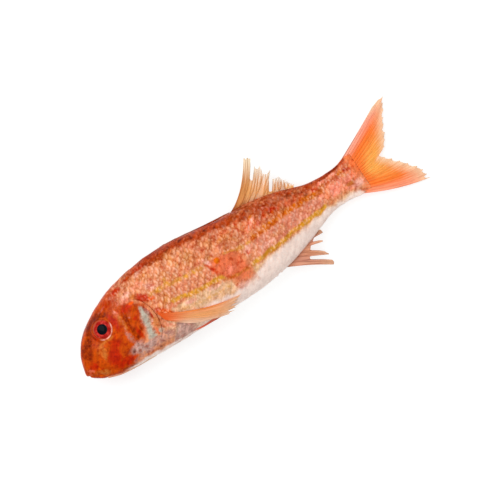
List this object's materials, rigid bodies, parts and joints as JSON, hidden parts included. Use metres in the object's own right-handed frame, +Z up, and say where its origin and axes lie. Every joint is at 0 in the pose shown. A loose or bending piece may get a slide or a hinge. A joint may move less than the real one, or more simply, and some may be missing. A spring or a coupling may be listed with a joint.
{
  "type": "red mullet",
  "caption": "Whole fresh red mullet lying on its right side, with eyes, gill covers, folded chin barbels and ragged orange fins.",
  "frame": {"origin": "middle of the fish's box in length and width, on the surface that the fish lies on", "axes": "+X from the snout to the tail, +Y from the belly to the back, +Z up out of the left flank"},
  "size_m": [0.2248, 0.0762, 0.0291],
  "materials": {
    "skin": "wet scaled skin, red on the back, salmon flanks with yellow stripes, silvery white belly",
    "eye": "wet, black pupil in a red iris",
    "barbel": "smooth pale skin",
    "orange_fin": "thin damp orange membrane on fine rays",
    "red_fin": "thin damp red membrane on fine rays",
    "pale_fin": "thin damp translucent tan membrane on fine rays"
  },
  "bodies": {
    "root": {"body": "skin", "left_eye": "eye", "right_eye": "eye", "left_gill_cover": "skin", "right_gill_cover": "skin", "left_barbel": "barbel", "right_barbel": "barbel", "left_pectoral_fin": "orange_fin", "right_pectoral_fin": "orange_fin", "left_pelvic_fin": "red_fin", "right_pelvic_fin": "red_fin", "first_dorsal_fin": "pale_fin", "second_dorsal_fin": "pale_fin", "anal_fin": "pale_fin", "caudal_fin": "orange_fin"}
  },
  "joints": []
}
